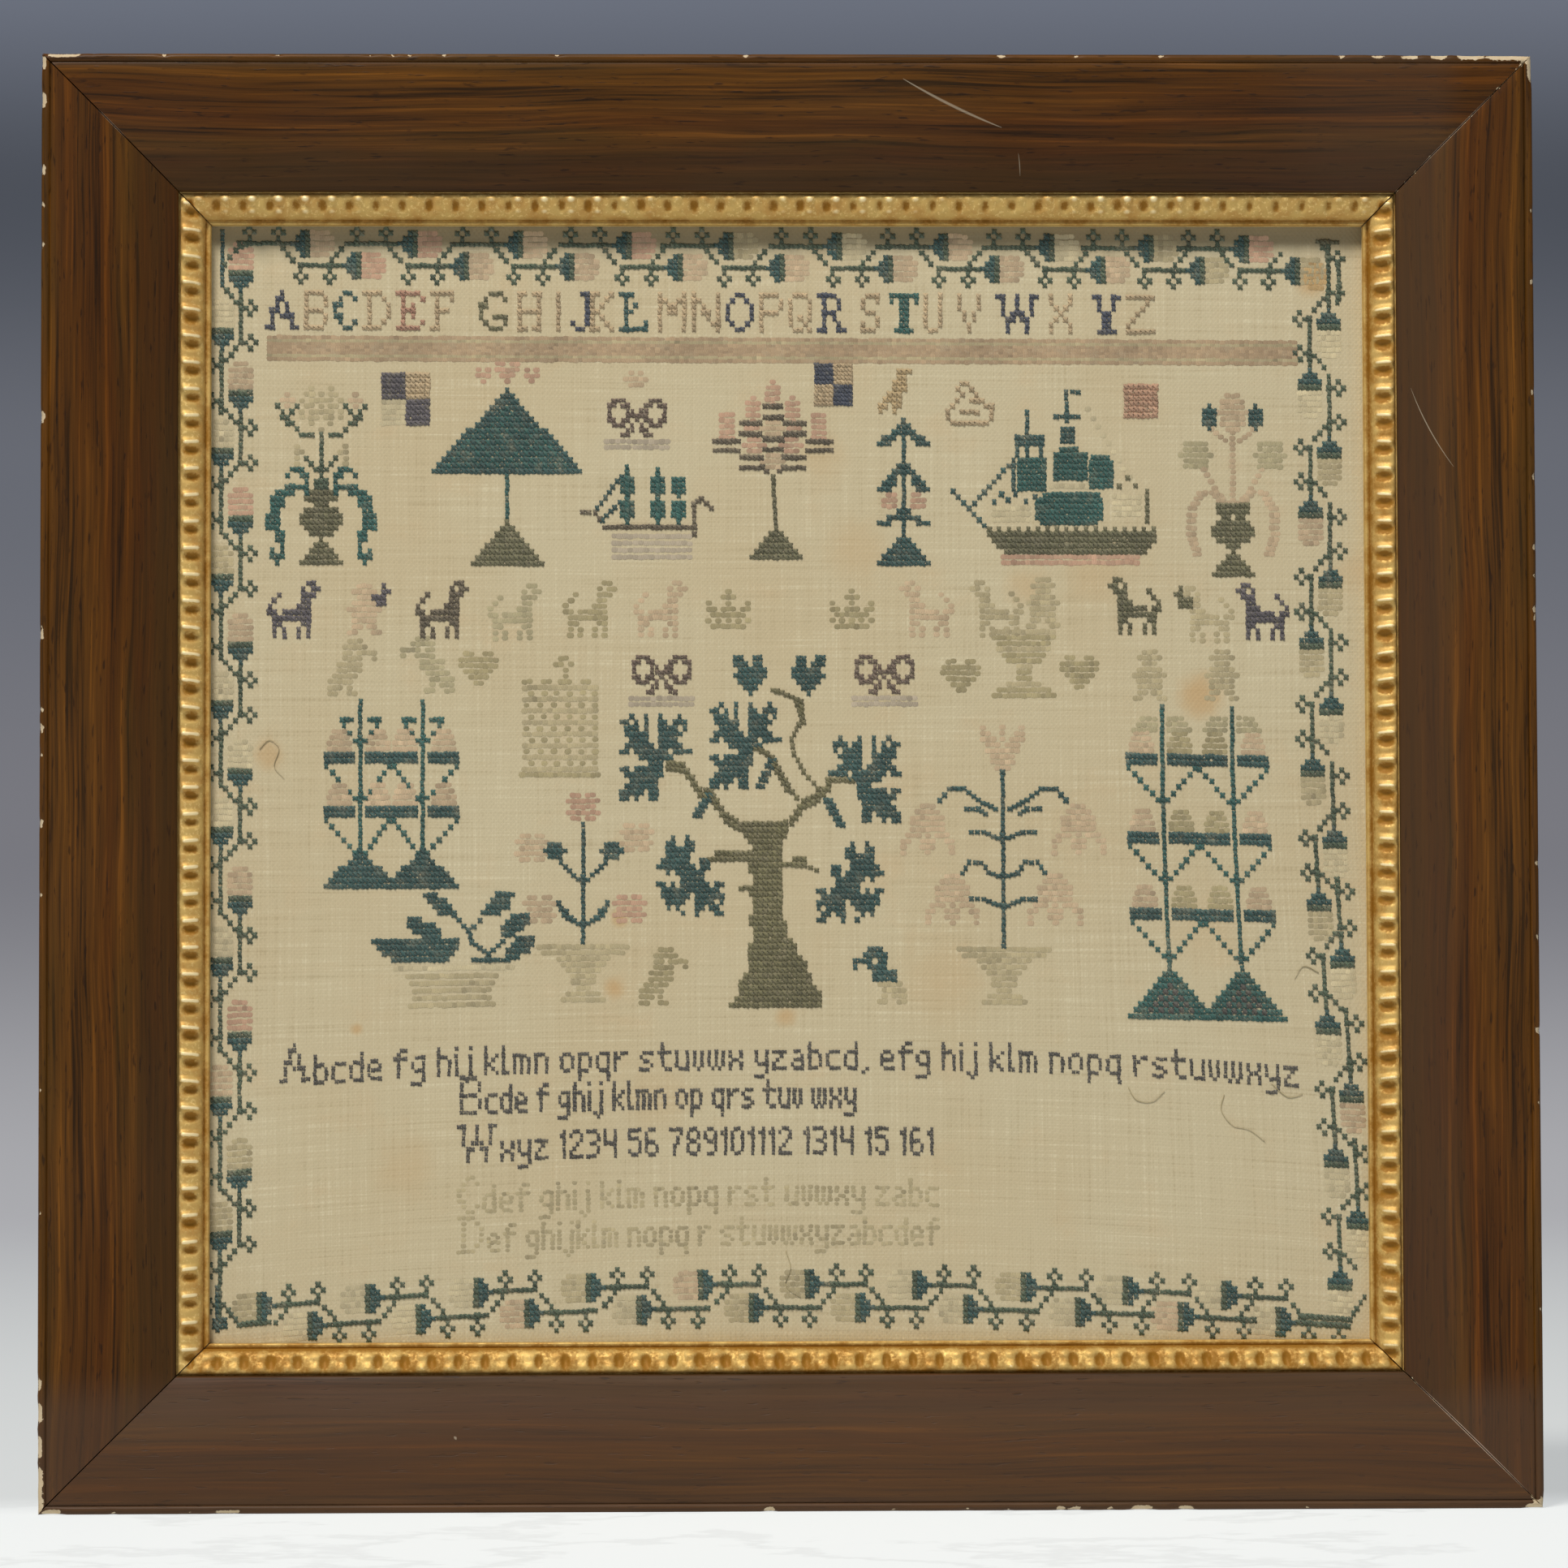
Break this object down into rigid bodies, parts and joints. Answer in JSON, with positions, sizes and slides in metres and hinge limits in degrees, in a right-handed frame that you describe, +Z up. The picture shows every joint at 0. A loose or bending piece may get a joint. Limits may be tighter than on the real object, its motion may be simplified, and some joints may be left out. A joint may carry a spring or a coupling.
{
  "type": "cross stitch sampler in a wooden frame",
  "caption": "Faded cross stitch sampler with vine border, trees, ships and animals, in a mitred walnut frame with a gilt ornamented slip.",
  "frame": {"origin": "middle of the flat underside of the bottom moulding, which the frame stands on", "axes": "+X to the viewer's right along the width, -Y out of the embroidered face towards the viewer, +Z up"},
  "size_m": [0.414, 0.027, 0.403],
  "materials": {
    "walnut": "old dark walnut, waxed, satin",
    "gilt": "worn gold leaf over carved composition",
    "linen": "aged cream plain weave, embroidered in faded wool and silk",
    "board": "plain unfinished softwood board, aged"
  },
  "bodies": {
    "root": {"frame_bottom": "walnut", "frame_top": "walnut", "frame_left": "walnut", "frame_right": "walnut", "slip_bottom": "gilt", "slip_top": "gilt", "slip_left": "gilt", "slip_right": "gilt", "sampler_cloth": "linen", "backing_board": "board"}
  },
  "joints": []
}
